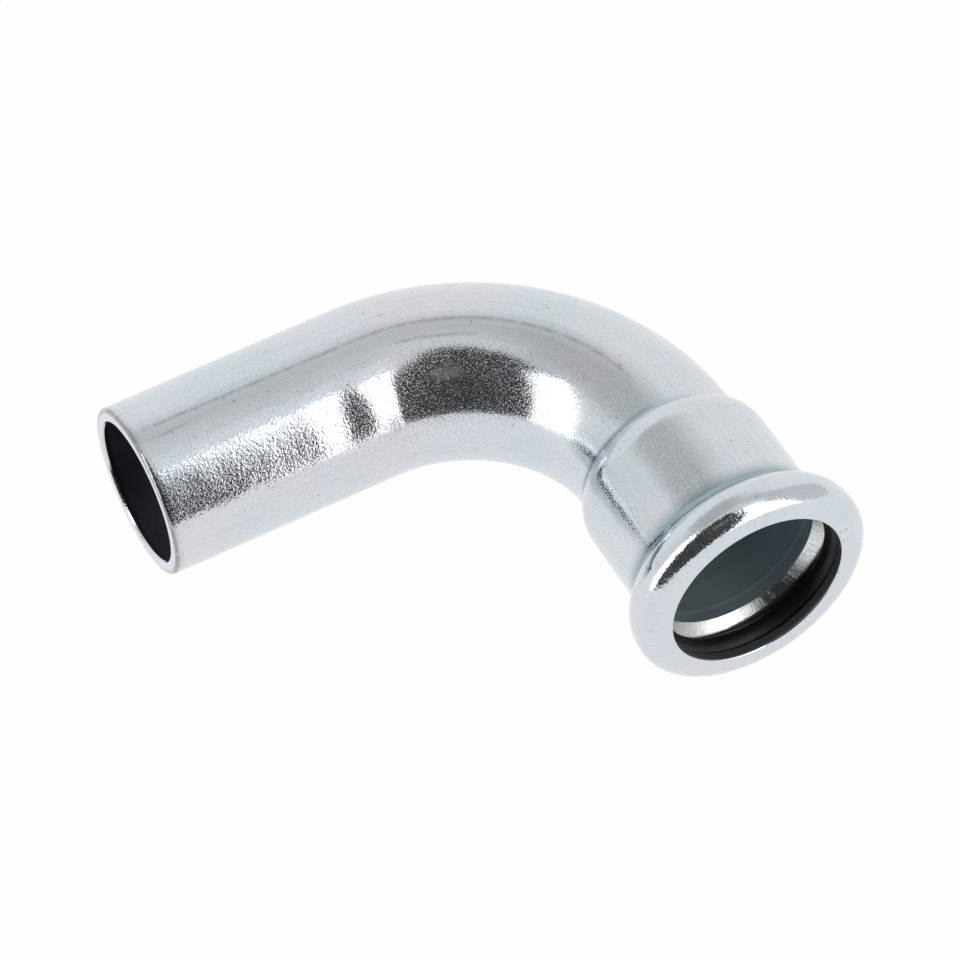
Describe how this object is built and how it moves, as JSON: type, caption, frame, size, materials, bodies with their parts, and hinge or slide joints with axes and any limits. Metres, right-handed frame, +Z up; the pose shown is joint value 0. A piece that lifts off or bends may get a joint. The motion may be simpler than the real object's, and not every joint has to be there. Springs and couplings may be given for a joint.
{
  "type": "press fit pipe elbow",
  "caption": "Ninety-degree press elbow in bright zinc-plated steel tube: a plain spigot at one end and, at the other, a press socket with a rolled bead that holds a rubber seal ring.",
  "frame": {"origin": "centre of the spigot's end face, on the spigot's axis", "axes": "+X runs into the fitting along the spigot; +Z is up from the table that the elbow lies on, with the socket pointing along -Y and a little upwards, because the bead is wider than the tube"},
  "size_m": [0.0736, 0.063, 0.0311],
  "materials": {
    "zinc_plated_steel": "bright zinc plating with a faint blue cast and a fine crystalline grain",
    "seal_rubber": "black, smooth, half gloss"
  },
  "bodies": {
    "root": {"elbow_body": "zinc_plated_steel", "seal_ring": "seal_rubber"}
  },
  "joints": []
}
